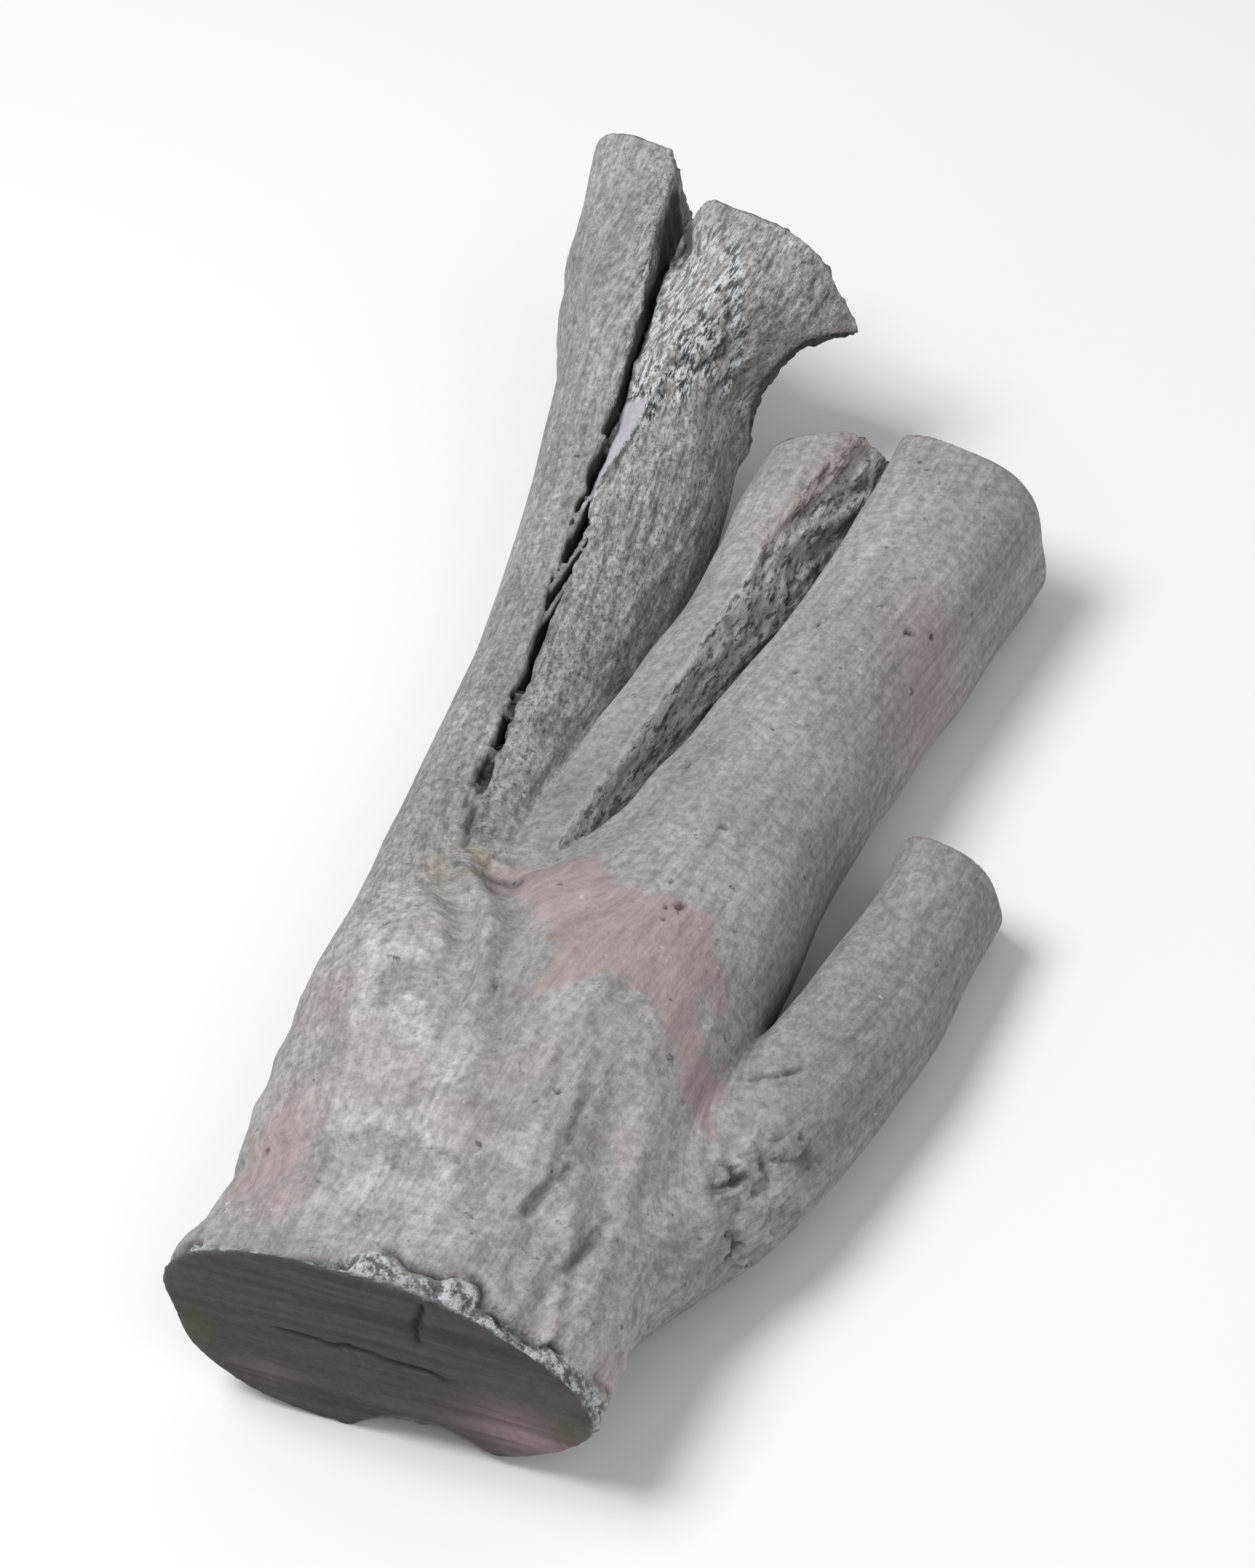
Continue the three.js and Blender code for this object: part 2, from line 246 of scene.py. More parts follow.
def fields(x, y, z):
    """Every distance the lump is made of, at points given as three arrays."""
    f = {name: limb.field(x, y, z) for name, limb in LIMBS.items()}
    wander = 0.5 * np.sin(y / 9.0 + 0.12 * z) + 0.35 * np.sin(y / 3.7 + 1.0 + 0.2 * z)
    # The left limb, its long crack, the bevel torn beside it and its broken tips.
    sway = 0.45 * jagged(y, 11, 1) + 0.30 * jagged(y + 0.2 * z, 3.7, 2)
    crack_x = np.interp(y, CRACK_Y, CRACK_X) + sway * ramp(80, 95, y)
    half = np.interp(y, CRACK_Y, CRACK_HALF) * (1 + 0.6 * jagged(y, 4.6, 3) + 0.3 * jagged(y, 1.9, 4))
    _, centre_z, _, half_z = LIMBS["left"].section(y)
    under_top = centre_z + half_z - z
    f["crack"] = np.minimum(half - np.abs(x - crack_x), np.interp(y, CRACK_Y, CRACK_DEPTH) - under_top)
    for start in SPLINTERS:
        splinter = np.abs(x - crack_x - SPLINTER_SLANT * (y - start)) - SPLINTER_HALF
        splinter = np.maximum(splinter, np.maximum(np.abs(y - start) - SPLINTER_REACH, 0.8 - under_top))
        f["crack"] = np.minimum(f["crack"], splinter)
    across = (x - crack_x) / np.maximum(np.interp(y, BEVEL_Y, BEVEL_WIDTH), 0.1)
    f["bevel"] = np.interp(y, BEVEL_Y, BEVEL_DROP) * (1 - across) - under_top
    f["bevel"] = np.where((x > crack_x) & (y > BEVEL_FROM_Y), f["bevel"], NEVER)
    notch = 0.30 * np.sin(x / 3.3) + 0.25 * np.sin(z / 4.1 + x / 2.7)
    thick_tip = (y - np.interp(x, THICK_TIP_X, THICK_TIP_Y) + 0.25 * (z - 45) - notch) * 0.85
    strip_tip = y - np.interp(x, STRIP_TIP_X, STRIP_TIP_Y) + 0.15 * (z - 50) - 0.5 * notch
    f["left_tip"] = np.where(x < crack_x, strip_tip, thick_tip)
    left_whole = soft_max(f["left"], f["left_tip"], 1.6)
    left = soft_max(soft_max(left_whole, f["bevel"], 0.8), f["crack"], 0.8)
    f["hollow"] = HOLLOW_RADIUS + 0.5 * notch - line_through(x, y, z, HOLLOW_THROUGH, HOLLOW_ALONG)
    left = soft_max(left, f["hollow"], 1.2)
    # The right limb, with a split face towards its torn strip.
    f["gash"] = np.interp(y, GASH_WALL_Y, GASH_WALL_X) + 0.4 * wander - x - 0.10 * (z - 30)
    f["right_tip"] = plane(x, y, *RIGHT_TIP) + 0.05 * (z - 20) - 0.5 * notch
    right = soft_max(f["right"], f["right_tip"], 1.8)
    right = soft_max(right, np.where(y > SPLIT_FROM_Y, f["gash"], NEVER), 1.5)
    curl = 1.6 * np.sin(y / 11.0) * ramp(150, 180, y)
    f["torn"] = (x - np.interp(y, TORN_EDGE_Y, TORN_EDGE_X) + curl) * 0.86 + (z - 32) * 0.5 + 0.3 * wander
    f["torn_tip"] = plane(x, y, *TORN_TIP) + 0.10 * (z - 20) - 0.5 * notch
    strip = soft_max(soft_max(f["strip"], f["torn"], 2.5), f["torn_tip"], 1.5)
    f["stub_tip"] = plane(x, y, *STUB_TIP) + 0.2 * (z - 12) - notch
    stub = soft_max(f["stub"], f["stub_tip"], 1.8)
    # Joined where they grew together, and sharp where they split.
    with_left = soft_min(f["trunk"], left, LEFT_BLEND)
    with_right = soft_min(f["trunk"], right, RIGHT_BLEND)
    with_stub = soft_min(f["trunk"], stub, STUB_BLEND)
    with_strip = soft_min(f["trunk"], strip, STRIP_BLEND)
    body = np.minimum(np.minimum(with_left, soft_min(with_right, with_stub, 1.5)), with_strip)
    f["saw"] = plane(x, y, *SAWN_END) + 0.25 * np.sin(x / 11 + z / 17)
    body = soft_max(body, f["saw"], 0.9)
    groove = 5.5 * ramp(30, -6, y) - z - 0.045 * (x - GROOVE_X) ** 2
    body = soft_max(body, groove, 3)
    f["body"] = np.maximum(body, -z)
    # The lump before it cracked and split, to tell how deep inside a broken face is.
    right_whole = np.maximum(np.minimum(f["right"], f["strip"] + 1.5), f["right_tip"])
    f["whole"] = np.minimum(soft_min(f["trunk"], left_whole, LEFT_BLEND), right_whole)
    f["whole"] = np.minimum(f["whole"], f["trunk"])
    return f


def surface(field, origin, pitch):
    """Naive surface nets: one point in each cell the surface crosses, one quad for each crossed edge."""
    inside = field < 0
    shape = np.array(field.shape) - 1
    corner = {}
    for i in (0, 1):
        for j in (0, 1):
            for k in (0, 1):
                corner[i, j, k] = (slice(i, i + shape[0]), slice(j, j + shape[1]), slice(k, k + shape[2]))
    count = sum(inside[s].astype(np.uint8) for s in corner.values())
    active = (count > 0) & (count < 8)
    cells = np.argwhere(active)
    index = np.full(active.shape, -1, np.int32)
    index[active] = np.arange(len(cells))
    values = {c: field[s][active] for c, s in corner.items()}
    total = np.zeros((len(cells), 3))
    crossings = np.zeros(len(cells))
    for c in values:
        for axis in range(3):
            if c[axis]:
                continue
            d = tuple(1 if n == axis else c[n] for n in range(3))
            a, b = values[c], values[d]
            hit = (a < 0) != (b < 0)
            t = np.where(hit, a / np.where(hit, a - b, 1), 0)
            for n in range(3):
                total[:, n] += np.where(hit, c[n] + (t if n == axis else 0), 0)
            crossings += hit
    points = (cells + total / crossings[:, None]) * pitch + origin
    quads = []
    for axis in range(3):
        u, v = (axis + 1) % 3, (axis + 2) % 3
        low = [slice(0, None)] * 3
        high = [slice(0, None)] * 3
        low[axis], high[axis] = slice(0, -1), slice(1, None)
        for n in (u, v):
            low[n] = high[n] = slice(1, -1)
        a, b = inside[tuple(low)], inside[tuple(high)]
        where = np.argwhere(a != b)
        flip = b[tuple(where.T)]
        where[:, u] += 1
        where[:, v] += 1
        ring = []
        for du, dv in ((-1, -1), (0, -1), (0, 0), (-1, 0)):
            at = where.copy()
            at[:, u] += du
            at[:, v] += dv
            ring.append(index[tuple(at.T)])
        ring = np.stack(ring, 1)
        ring[flip] = ring[flip][:, ::-1]
        quads.append(ring)
    return points, np.vstack(quads)


RANDOM = np.random.default_rng(11)
LATTICE = (RANDOM.random((64, 64, 64)) * 2 - 1).astype(np.float32)
# A turn that keeps the lattice's own directions from lining up with the lump's.
TURNED = np.array(Matrix.Rotation(0.7, 3, "X") @ Matrix.Rotation(0.6, 3, "Z"))


def noise(p, scale, seed=0):
    """Smooth noise, mostly from -1 to 1. scale is the size of its swells, one number or one for each axis."""
    p = p if np.size(scale) > 1 else p @ TURNED
    q = p / np.array(scale, float) + seed * 7.31
    cell = np.floor(q).astype(int)
    t = q - cell
    t = t * t * (3 - 2 * t)
    out = 0
    for i in (0, 1):
        for j in (0, 1):
            for k in (0, 1):
                w = np.abs(1 - i - t[:, 0]) * np.abs(1 - j - t[:, 1]) * np.abs(1 - k - t[:, 2])
                out = out + w * LATTICE[(cell[:, 0] + i) & 63, (cell[:, 1] + j) & 63, (cell[:, 2] + k) & 63]
    return out * 1.6


def ridged(p, scale, seed=0):
    """Noise with sharp crests, where the smooth noise is near 0."""
    return 1 - 2 * np.abs(noise(p, scale, seed))


def bell(value):
    """1 where a value is 0, falling smoothly to 0 on both sides."""
    return np.exp(-(value ** 2))


def spots(across, along, table):
    """Soft round patches from a table of centres, reaches and strengths, added up."""
    return sum(strong * bell((across - u) / ru) * bell((along - v) / rv) for u, v, ru, rv, strong in table)


def inside(p, outline):
    """How far each point is inside an outline drawn from above; outside it is below 0."""
    best = np.full(len(p), 1e9)
    odd = np.zeros(len(p), bool)
    corners = np.array(outline, float)
    for a, b in zip(corners, np.roll(corners, -1, 0)):
        d = b - a
        t = np.clip(((p[:, 0] - a[0]) * d[0] + (p[:, 1] - a[1]) * d[1]) / (d @ d), 0, 1)
        best = np.minimum(best, np.hypot(p[:, 0] - a[0] - t * d[0], p[:, 1] - a[1] - t * d[1]))
        crosses = (a[1] > p[:, 1]) != (b[1] > p[:, 1])
        odd ^= crosses & (p[:, 0] < a[0] + (p[:, 1] - a[1]) * d[0] / (d[1] if d[1] else 1e-9))
    return np.where(odd, best, -best)


def line_distance(p, path):
    """How far each point is from a path seen from above, on which side, and how far along it, from 0 to 1."""
    best = np.full(len(p), 1e9)
    side = np.zeros(len(p))
    along = np.zeros(len(p))
    path = np.array(path, float)
    for n, (a, b) in enumerate(zip(path[:-1], path[1:])):
        d = b - a
        t = np.clip(((p[:, 0] - a[0]) * d[0] + (p[:, 1] - a[1]) * d[1]) / (d @ d), 0, 1)
        ex = p[:, 0] - a[0] - t * d[0]
        ey = p[:, 1] - a[1] - t * d[1]
        distance = np.hypot(ex, ey)
        closer = distance < best
        best = np.where(closer, distance, best)
        side = np.where(closer, np.sign(ex * d[1] - ey * d[0]), side)
        along = np.where(closer, (n + t) / (len(path) - 1), along)
    return best, side, along


# The lump as a mesh of points in millimetres.
LOW = np.array([-44.0, -12.0, -4.0])
HIGH = np.array([84.0, 262.0, 70.0])
axes = [np.arange(LOW[n], HIGH[n], VOXEL, dtype=np.float32) for n in range(3)]
grid = fields(axes[0][:, None, None], axes[1][None, :, None], axes[2][None, None, :])["body"]
points, quads = surface(grid.astype(np.float32), LOW, VOXEL)
del grid


def slope(p, step=0.5):
    """The way out of the surface at each point, and how steeply the field rises there."""
    g = np.zeros_like(p)
    for n in range(3):
        d = np.zeros(3)
        d[n] = step
        g[:, n] = fields(*(p + d).T)["body"] - fields(*(p - d).T)["body"]
    length = np.linalg.norm(g, axis=1, keepdims=True)
    return g / np.maximum(length, 1e-6), length[:, 0] / (2 * step)


normal, steep = slope(points)
value = fields(*points.T)["body"]
move = np.clip(value / np.maximum(steep, 0.5), -0.4, 0.4)
points -= normal * move[:, None]

f = fields(*points.T)
# How much each point belongs to each limb, and its place within their sections, along the grain.
weights = {name: np.exp(-np.clip(f[name], -30, 30) / SHARE_REACH) for name in LIMBS}
total = sum(weights.values())
grain = np.zeros_like(points)
for name, limb in LIMBS.items():
    cx, cz, _, _ = limb.section(points[:, 1])
    share = weights[name] / total
    grain[:, 0] += share * (points[:, 0] - cx)
    grain[:, 2] += share * (points[:, 2] - cz)
grain[:, 1] = points[:, 1]
share = {name: w / total for name, w in weights.items()}

x, y, z = points.T  # views, so they follow the points as they are moved
inner = np.minimum.reduce([f[name] for name in LIMBS])  # how far inside the outer surface, below 0
upper_side = z > 14
sawn = ramp(1.0, 0.25, np.abs(f["saw"]))
torn = ramp(1.3, 0.4, np.abs(f["torn"])) * (share["strip"] > 0.2) * (y > SPLIT_FROM_Y)
torn *= ramp(0.35, 0.6, normal[:, 0])
gash = ramp(1.0, 0.3, np.abs(f["gash"])) * (normal[:, 0] < -0.5) * (y > SPLIT_FROM_Y)
crack = ramp(0.9, 0.2, np.abs(f["crack"])) * (y > 80) * (x < 5) * ramp(-0.5, -1.5, inner)
bevel = ramp(0.9, 0.3, np.abs(f["bevel"])) * (y > BEVEL_FROM_Y) * ramp(-0.1, -0.6, inner)
ENDS = {"left_tip": "left", "right_tip": "right", "torn_tip": "strip", "stub_tip": "stub"}
to_tip = np.minimum.reduce([np.abs(f[end]) + 99 * (share[limb] < 0.3) for end, limb in ENDS.items()])
tips = ramp(1.0, 0.3, to_tip) * ramp(0.4, 0.8, normal[:, 1]) * (y > 90)
under_tip = ramp(1.0, 0.3, np.abs(f["hollow"])) * ramp(-0.2, -0.9, inner) * (share["left"] > 0.3)
tips = np.maximum(tips, under_tip * (y > 185))
depth = np.clip(-f["whole"], 0, 12)
bark = (1 - sawn) * (1 - torn) * (1 - crack) * (1 - tips) * (1 - bevel)
thick = share["left"] * (x > THICK_FROM_X)
on_trunk = share["trunk"]
calm = ramp(0.3, 4.0, to_tip)  # 0 at a broken end, whose rim stays clean
deep_in = ramp(-0.6, -2.2, inner)  # keeps broken edges crisp

# Weathering, as distances to move each point out of the surface: first swells and lumps.
soft = 1 - 0.55 * share["left"] - 0.35 * share["right"]
push = bark * soft * (0.65 * noise(points, 24, 1) + 0.30 * noise(points, 10, 2))
push += bark * on_trunk * (0.8 * noise(points, 14, 3) + 0.45 * noise(points, 6, 4))
push += bark * on_trunk * 0.16 * noise(points, 2.8, 11)
# Grain, coarser on the thick half of the left limb and on the flanks of the trunk.
push += bark * calm * (0.05 * noise(grain, (2.0, 34, 2.0), 5) + 0.05 * noise(grain, (1.1, 16, 1.1), 6))
push += bark * calm * share["left"] * 0.10 * ridged(grain, (1.8, 30, 1.8), 7)
push += bark * calm * thick * 0.26 * ridged(grain, (1.5, 11, 1.5), 12)
push += bark * calm * thick * 0.25 * noise(grain, (2.6, 14, 2.6), 13)
flank = ramp(14, 30, x) * ramp(50, 36, y) * bark * (z > 12)
push += flank * 0.55 * ridged(points, (4.0, 26, 5.0), 8)
flank_left = ramp(-18, -30, x) * ramp(70, 50, y) * bark
push += flank_left * 0.25 * ridged(points, (4.0, 40, 5.0), 14)
# Pitted patch, burnt pits and the chipped line.
pitted = spots(x, y, PITTED) * bark * (z > 8)
push -= pitted * 1.8 * ramp(0.05, 0.5, noise(points, 2.8, 9))
uneven = 1 + 0.7 * noise(points, 1.0, 53)
pits = sum(bell(((x - px) ** 2 + (y - py) ** 2) * uneven / size ** 2) for px, py, size in PITS) * upper_side
push -= pits * 0.9
chips = bell(line_distance(points, CHIPPED_LINE)[0] / 1.7) * upper_side
chips *= ramp(0.0, 0.35, noise(points, 1.5, 54))
push -= chips * 1.1

# The ridge with a groove on each side, and the bumps and dips around it.
away, side, along = line_distance(points, RIDGE)
off = away * side
on_top = (z > 18) * bark
fade = on_top * ramp(0, 0.22, along) * ramp(1, 0.70, along)
push += fade * 1.9 * bell(away / 1.8)
push -= fade * 2.1 * bell((off - 4.4) / 2.6) * ramp(0.75, 0.45, along)
push -= fade * 1.4 * bell((off + 4.4) / 2.6)
push += on_top * spots(x, y, BUMPS)
furrow = bell((x + 7) / 5.0) * bell((y - 38.5 - 0.2 * (x + 7)) / 1.7) * on_top
furrow *= ramp(-0.6, 0.5, noise(points, 2.5, 52))
push -= 1.2 * furrow

# Torn, frayed and broken faces.
torn_rough = 0.28 * noise(grain, (2.2, 7, 2.2), 20) + 0.22 * ridged(grain, (1.2, 3.5, 1.2), 21) - 0.15
torn_rough -= 0.9 * ramp(0.35, 0.6, noise(grain, (1.6, 4, 1.6), 22)) * ramp(150, 185, y)
push += torn * deep_in * calm * torn_rough
frayed = bevel * ramp(194, 206, y)
slant = np.stack([x - 0.5 * y, x + y, z], 1)  # fibres torn at an angle to the grain
push -= frayed * deep_in * (0.2 + 0.45 * ridged(slant, (1.6, 14, 2.0), 23) + 0.6 * noise(points, 4.5, 24))
creases = 0
for path, width, sink in CREASES:
    away, _, along = line_distance(points, path)
    ends = ramp(0, 0.12, along) * ramp(1, 0.88, along)
    line = bell((away + 0.35 * noise(points, 1.6, 47)) / width) * ends * upper_side
    creases = np.maximum(creases, line * min(sink, 1))
    push -= line * sink
pocket = np.maximum(bevel, 0.5) * bell((x - 1.5) / 2.2) * bell((y - 228) / 7) * (z > 30) * (x > -2)
push -= pocket * 1.6
push += bevel * ramp(206, 194, y) * 0.15 * noise(grain, (2.2, 20, 2.2), 31)
push += tips * deep_in * (0.5 * noise(points, (1.6, 5, 1.6), 25) + 0.3 * noise(points, 1.3, 26))
push += (crack + gash) * deep_in * 0.3 * noise(points, (2, 6, 2), 27)
push += sawn * (0.08 * noise(points, (30, 9, 0.9), 28) + 0.25 * noise(points, (22, 9, 9), 29))

# The sawn rim: crumbled on its upper side, with a ragged crevice a few millimetres back.
back = -f["saw"]
upper_rim = ramp(16, 30, z + 12 * ramp(12, 26, x)) * (1 - sawn)
rim_width = (1.9 + 2.1 * ramp(-8, 7, x)) * (1 + 0.35 * noise(points, 5, 51))
rim = bell((back / rim_width) ** 2) * upper_rim
crumbs = 0.5 * noise(points, 2.4, 30) + 0.6 * noise(points, 1.3, 32)
push += rim * 0.8 * (crumbs - 0.3)
ragged = back - 0.6 - rim_width - 1.1 * noise(points, (7, 7, 7), 33) - 0.5 * noise(points, 2.0, 34)
open_rim = ramp(-0.2, 0.2, noise(points, (6, 6, 6), 35) + 0.15)
rim_crevice = bell(ragged / 0.6) * upper_rim * open_rim
push -= rim_crevice * 1.4

# Cracks in the sawn face: one radial, one along the streaks.
cut_x = x + 0.6 * noise(points, (3, 3, 3), 36)
cut_z = z + 0.5 * noise(points, (3, 3, 3), 37)
radial = bell((cut_x - 9 - 0.25 * (z - 34)) / 0.4) * ramp(26, 29, z) * ramp(40, 37, z)
level = bell((cut_z - 21 + 0.06 * x) / 0.45) * ramp(-20, -12, x) * ramp(16, 8, x)
sawn_cracks = np.maximum(radial, level) * sawn
push -= sawn_cracks * 0.9
push *= ramp(0.0, 3.0, z)  # nothing moves where it lies
points += normal * push[:, None]
points[:, 2] = np.maximum(points[:, 2], 0)

# What each point is made of, and where shade is painted, for the material to read.
# Painted shade: darker the deeper a point lies inside the unbroken lump.
crack_depth_shade = crack * ramp(2, 7, depth) + (1 - crack) * (1 - torn) * (1 - tips) * ramp(2, 6, depth)
bevel_edge = x - np.interp(y, CRACK_Y, CRACK_X) - np.interp(y, BEVEL_Y, BEVEL_WIDTH)
step_line = bell(bevel_edge / 0.5) * ramp(172, 176, y) * ramp(201, 195, y) * share["left"] * (z > 20)
# Painted shade in cracks, creases, pits, chips, the pocket under the tip, along the bevel's step, and on the
# deep torn face towards the trunk.
crevice_shade = np.maximum.reduce([
    crack_depth_shade * (1 - bevel) * (1 - sawn),
    0.35 * torn * ramp(9, 14, depth),
    0.5 * torn * ramp(165, 120, y),
    rim_crevice,
    sawn_cracks,
    creases,
    0.9 * pits,
    0.8 * chips,
    0.9 * ramp(0.35, 0.8, pocket + 0.25 * noise(points, 1.8, 48)),
    0.8 * step_line,
])
# Painted shade: darker where the surface was pushed in, and in the furrow.
dip_shade = ramp(0.3, 1.8, -push) * bark + 0.8 * furrow
ragged_edge = 1.3 * noise(points, 4, 40) + 0.8 * noise(points, 1.5, 41)
pink = ramp(-1.2, 1.2, inside(points, PINK_PATCH) + ragged_edge) * (z > 12)
pink += spots(x, y, PINK_SPOTS) * (z > 8)
pink += 0.6 * (torn > 0.1) * ramp(2.5, 0.5, depth) * ramp(150, 180, y)
pink += 0.5 * ramp(0.45, 0.8, noise(points, 9, 42)) * on_trunk
pink = np.where(sawn > 0.5, spots(x, z, FACE_PINK), pink)
ash = spots(x, y, ASH_SPOTS) * (z > 8)
ash *= ramp(-0.35, 0.45, noise(points, 5.5, 43) + 0.5 * noise(points, 2.4, 44) + 0.3 * noise(points, 1.1, 45))
silver = ramp(-1.5, 1.5, inside(points, SILVER_PATCH) + 1.3 * noise(slant, (2.0, 6, 3), 49)) * (z > 24)
silver *= ramp(-0.9, 0.0, noise(slant, (1.1, 5, 2), 50)) * (1 - 0.4 * ramp(8, 16, x))
sliver = ramp(0.1, 0.5, bevel) * ramp(168, 172, y) * ramp(197, 190, y)
silver = np.where(sliver > 0.15, 1 + sliver, silver)  # above 1 it is smooth, without specks
yellow = spots(x, y, YELLOW_SPOTS) * (z > 8) * ramp(-0.5, 0.2, noise(points, 2, 46))
yellow = np.where(sawn > 0.5, spots(x, z, FACE_YELLOW), yellow)
# Tone: a little darker on the limbs, darker low on the thick half and lighter near its tip; the stub is
# darkened as a painted shadow of the right limb above it, the trunk's right flank is lifted as painted light,
# and the shaded spots are painted shade.
tone_and_shade = 1.04 - 0.06 * share["left"] - 0.04 * share["right"] - 0.25 * share["stub"] - 0.04 * share["strip"]
tone_and_shade += 0.06 * thick * ramp(120, 170, y) - 0.13 * thick * ramp(150, 110, y)
tone_and_shade += 0.05 * flank - spots(x, y, SHADED_SPOTS) * (z > 8)

MASKS = {
    "zone_faces": (sawn, torn, tips, gash + crack * (1 - 0.7 * ramp(212, 226, y))),
    "zone_patches": (pink, ash, silver, np.clip(rim * 1.3, 0, 1)),
    "zone_shade": (crevice_shade, dip_shade, tone_and_shade, np.clip(pitted + frayed, 0, 1)),
    "zone_grain": (thick, share["left"], yellow, on_trunk),
}

mesh = bpy.data.meshes.new("lump")
mesh.vertices.add(len(points))
place = (points - np.array([CAD_MIDDLE[0], CAD_MIDDLE[1], 0])) * MM
mesh.vertices.foreach_set("co", place.astype(np.float32).ravel())
mesh.loops.add(quads.size)
mesh.loops.foreach_set("vertex_index", quads.astype(np.int32).ravel())
mesh.polygons.add(len(quads))
mesh.polygons.foreach_set("loop_start", np.arange(0, quads.size, 4, dtype=np.int32))
mesh.polygons.foreach_set("use_smooth", np.ones(len(quads), bool))
mesh.update(calc_edges=True)
mesh.validate()
for name, columns in MASKS.items():
    layer = mesh.attributes.new(name, "FLOAT_COLOR", "POINT")
    layer.data.foreach_set("color", np.clip(np.stack(columns, 1), 0, 2).astype(np.float32).ravel())
layer = mesh.attributes.new("grain", "FLOAT_VECTOR", "POINT")
layer.data.foreach_set("vector", (grain * MM).astype(np.float32).ravel())

lump = bpy.data.objects.new("lump", mesh)
bpy.context.scene.collection.objects.link(lump)
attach(lump, "root")
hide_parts("charcoal_lump")


class Nodes:
    """A short way to write a material's nodes."""

    def __init__(self, name):
        self.material = bpy.data.materials.new(name)
        self.material.use_nodes = True
        self.tree = self.material.node_tree
        self.shader = self.tree.nodes["Principled BSDF"]

    def add(self, kind, inputs=(), **settings):
        node = self.tree.nodes.new(kind)
        for key, item in settings.items():
            setattr(node, key, item)
        for key, item in dict(inputs).items():
            if isinstance(item, bpy.types.NodeSocket):
                self.tree.links.new(item, node.inputs[key])
            else:
                node.inputs[key].default_value = item
        return node

    def noise(self, where, scale, detail=3.0, rough=0.6, stretch=None):
        if stretch:
            where = self.add("ShaderNodeMapping", {"Vector": where, "Scale": stretch}).outputs[0]
        settings = {"Vector": where, "Scale": scale, "Detail": detail, "Roughness": rough}
        return self.add("ShaderNodeTexNoise", settings).outputs["Fac"]

    def spread(self, value, low, high, to_low=0.0, to_high=1.0):
        settings = {"Value": value, "From Min": low, "From Max": high, "To Min": to_low, "To Max": to_high}
        return self.add("ShaderNodeMapRange", settings, interpolation_type="SMOOTHSTEP").outputs[0]

    def math(self, operation, a, b=0.0):
        return self.add("ShaderNodeMath", {0: a, 1: b}, operation=operation).outputs[0]

    def mix(self, factor, a, b, blend="MIX"):
        node = self.add("ShaderNodeMix", data_type="RGBA", blend_type=blend)
        for key, item in ((0, factor), (6, a), (7, b)):
            if isinstance(item, bpy.types.NodeSocket):
                self.tree.links.new(item, node.inputs[key])
            else:
                node.inputs[key].default_value = item if key == 0 else (*item, 1.0)
        return node.outputs[2]


def grey(level, warm=0.0):
    return (level * (1 + warm), level, level * (1 - warm))


# Colours, linear.
BARK_DARK = grey(0.275, 0.022)
BARK_LIGHT = grey(0.335, 0.028)
BARK_STAIN = grey(0.22, 0.05)
GRAIN_GAP = grey(0.07, 0.03)
PEPPER = grey(0.05)
# Painted shade for hollows.
DIP_SHADE = grey(0.15, 0.03)
PALE_FLECK = grey(0.52)
DARK_FLECK = grey(0.07)
# Near black in pits, partly painted shade.
PIT = grey(0.02)
# Painted shade for cracks and crevices.
CREVICE_SHADE = grey(0.012)
PALE_ASH = (0.51, 0.515, 0.49)
PINK_BLOOM = (0.335, 0.268, 0.262)
YELLOW_KNOT = (0.38, 0.32, 0.19)
FRAYED_DARK = (0.022, 0.023, 0.025)
# Pale silver, partly a painted sheen.
FRAYED_PALE_SHEEN = (0.60, 0.62, 0.635)
LAVENDER_DARK = (0.37, 0.355, 0.40)
LAVENDER_PALE = (0.47, 0.455, 0.50)
TORN_DARK = grey(0.12, 0.04)
TORN_PALE = grey(0.54, 0.03)
TORN_END = grey(0.66)
TORN_GAP = grey(0.035)
TORN_PINK = (0.22, 0.13, 0.11)
# Near black: partly the split walls' own broken charcoal and partly painted shade in the narrow gaps.
SPLIT_WALL = grey(0.05)
RING_DARK = grey(0.034)
RING_PALE = grey(0.080)
BROKEN_PALE = grey(0.20)
BROKEN_DARK = grey(0.012)
SAWN_DARK = (0.046, 0.043, 0.045)
SAWN_PALE = (0.078, 0.074, 0.076)
SAWN_BAND = (0.094, 0.090, 0.091)
SAWN_PINK = (0.30, 0.215, 0.222)
SAWN_YELLOW = (0.088, 0.088, 0.044)
CRUMB_DARK = (0.07, 0.073, 0.077)
CRUMB_PALE = (0.53, 0.555, 0.57)


